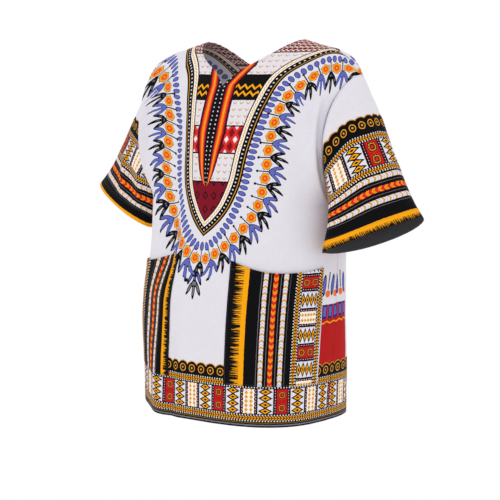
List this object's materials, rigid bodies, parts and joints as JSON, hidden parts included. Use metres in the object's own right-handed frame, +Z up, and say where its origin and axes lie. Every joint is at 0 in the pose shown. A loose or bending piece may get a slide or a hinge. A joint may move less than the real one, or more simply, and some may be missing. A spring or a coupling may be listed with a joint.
{
  "type": "dashiki shirt",
  "caption": "Loose printed cotton pullover shirt with drop-shoulder short sleeves, a round neck with a V slit, and patch pockets, shaped as it hangs when worn.",
  "frame": {"origin": "midway between the two points where the shoulder seams meet the neckline, where the shirt rests on the shoulders", "axes": "+Z up, the front faces -Y, the shirt's left side is +X"},
  "size_m": [0.788, 0.306, 0.7182],
  "materials": {
    "body_cloth": "matt woven cotton with a printed border and neck ornament",
    "sleeve_cloth": "matt woven cotton, printed in bands",
    "pocket_cloth": "matt woven cotton, printed in stripes"
  },
  "bodies": {
    "root": {"front": "body_cloth", "back": "body_cloth", "sleeve_left": "sleeve_cloth", "sleeve_right": "sleeve_cloth", "pocket_left": "pocket_cloth", "pocket_right": "pocket_cloth"}
  },
  "joints": []
}
